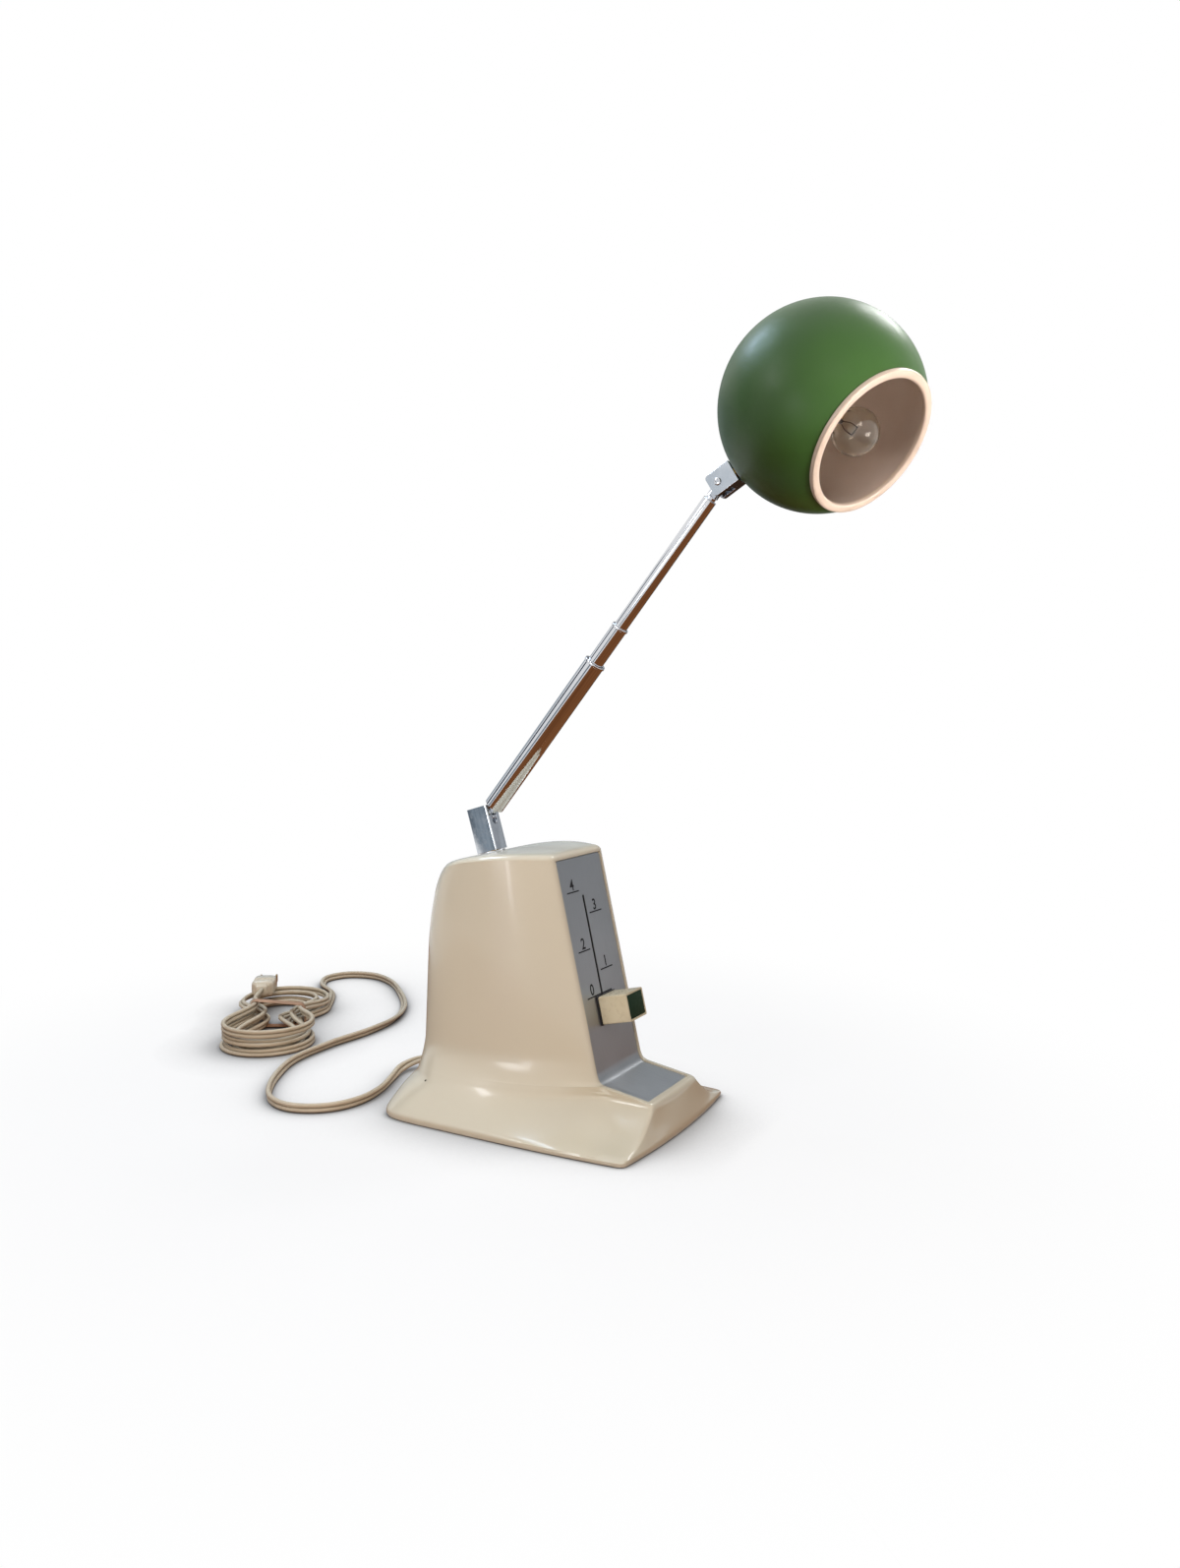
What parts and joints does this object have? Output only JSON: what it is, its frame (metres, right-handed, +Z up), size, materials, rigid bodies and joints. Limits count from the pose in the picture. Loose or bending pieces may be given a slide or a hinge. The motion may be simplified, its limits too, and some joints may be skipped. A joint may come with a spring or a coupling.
{
  "type": "desk lamp",
  "caption": "Desk lamp with a flared base, a slide dimmer on its front panel, a telescoping arm that tilts and swivels, and a ball shade that tilts and turns at its end.",
  "frame": {"origin": "middle of the pad under the base, on the desk", "axes": "+Z up, the front panel faces -Y, +X is on the right of someone who stands in front of the panel, as the panel is seen"},
  "size_m": [0.3011, 0.5692, 0.4767],
  "materials": {
    "cream": "glossy moulded cream",
    "panel": "brushed, satin, slightly blue-grey",
    "chrome": "bright plating",
    "shade_green": "satin leaf green enamel",
    "inset_green": "satin dark green",
    "black": "matt",
    "steel": "plain zinc-plated",
    "brass": "satin",
    "copper": "enamelled copper wire",
    "phenolic": "pressed board",
    "capacitor": "dipped",
    "porcelain": "glazed",
    "glass": "clear",
    "cord": "beige flat twin cord",
    "lead": "matt black",
    "band": "tan rubber band"
  },
  "bodies": {
    "base": {"base_shell": "cream", "front_panel": "panel", "base_pad": "black", "bottom_cover": "steel", "cover_screw_1": "steel", "cover_screw_2": "steel", "cover_screw_3": "steel", "cover_screw_4": "steel", "transformer_core": "steel", "transformer_winding": "copper", "transformer_strap": "steel", "strap_screw_1": "steel", "strap_screw_2": "steel", "circuit_board": "phenolic", "heat_sink": "panel", "triac": "black", "capacitor": "capacitor", "choke": "copper", "slide_track": "steel", "track_screw_1": "steel", "track_screw_2": "steel", "strain_relief": "cord", "mains_lead": "lead", "lamp_lead": "lead", "cord_lead": "cord", "cord_hank": "cord", "cord_tie": "band", "plug_body": "cream", "plug_blade_1": "brass", "plug_blade_2": "brass"},
    "slider": {"slider_guard": "black", "slider_knob": "cream", "knob_inset": "inset_green", "slider_stem": "steel", "slider_carriage": "black"},
    "bracket": {"lower_bracket": "chrome", "lower_pin": "steel", "swivel_washer": "chrome", "swivel_stud": "brass", "swivel_nut": "brass"},
    "outer_arm": {"outer_tube": "chrome", "arm_foot": "chrome"},
    "middle_arm": {"middle_tube": "chrome", "middle_guide": "brass"},
    "inner_arm": {"inner_tube": "chrome", "inner_guide": "brass", "arm_head": "chrome"},
    "head_bracket": {"upper_bracket": "chrome", "upper_rivet": "steel", "shade_stud": "brass", "shade_nut": "brass"},
    "shade": {"shade_shell": "shade_green", "shade_liner": "cream", "shade_rim": "cream", "socket_bracket": "steel", "bulb_socket": "porcelain", "socket_screw": "steel", "bulb_base": "brass", "bulb_glass": "glass", "bulb_filament": "steel"}
  },
  "joints": [
    {"name": "dimmer_slide", "type": "slide", "parent": "base", "child": "slider", "axis": [0, 0.2295, 0.9733], "range_m": [0, 0.065]},
    {"name": "base_swivel", "type": "hinge", "parent": "base", "child": "bracket", "pos_m": [0, 0.0498, 0.1604], "axis": [0, 0.2907, 0.9568], "range_deg": [-150, 150]},
    {"name": "arm_tilt", "type": "hinge", "parent": "bracket", "child": "outer_arm", "pos_m": [0, 0.05399, 0.18296], "axis": [-1, 0, 0], "range_deg": [-50, 55]},
    {"name": "middle_slide", "type": "slide", "parent": "outer_arm", "child": "middle_arm", "axis": [0, -0.6252, 0.7804], "range_m": [-0.0255, 0.06]},
    {"name": "inner_slide", "type": "slide", "parent": "middle_arm", "child": "inner_arm", "axis": [0, -0.6252, 0.7804], "range_m": [-0.09, 0.002]},
    {"name": "shade_tilt", "type": "hinge", "parent": "inner_arm", "child": "head_bracket", "pos_m": [0, -0.10707, 0.384], "axis": [1, 0, 0], "range_deg": [-19, 70]},
    {"name": "shade_swivel", "type": "hinge", "parent": "head_bracket", "child": "shade", "pos_m": [0, -0.16491, 0.42014], "axis": [0, -0.848, 0.5299], "range_deg": [-150, 150]}
  ]
}
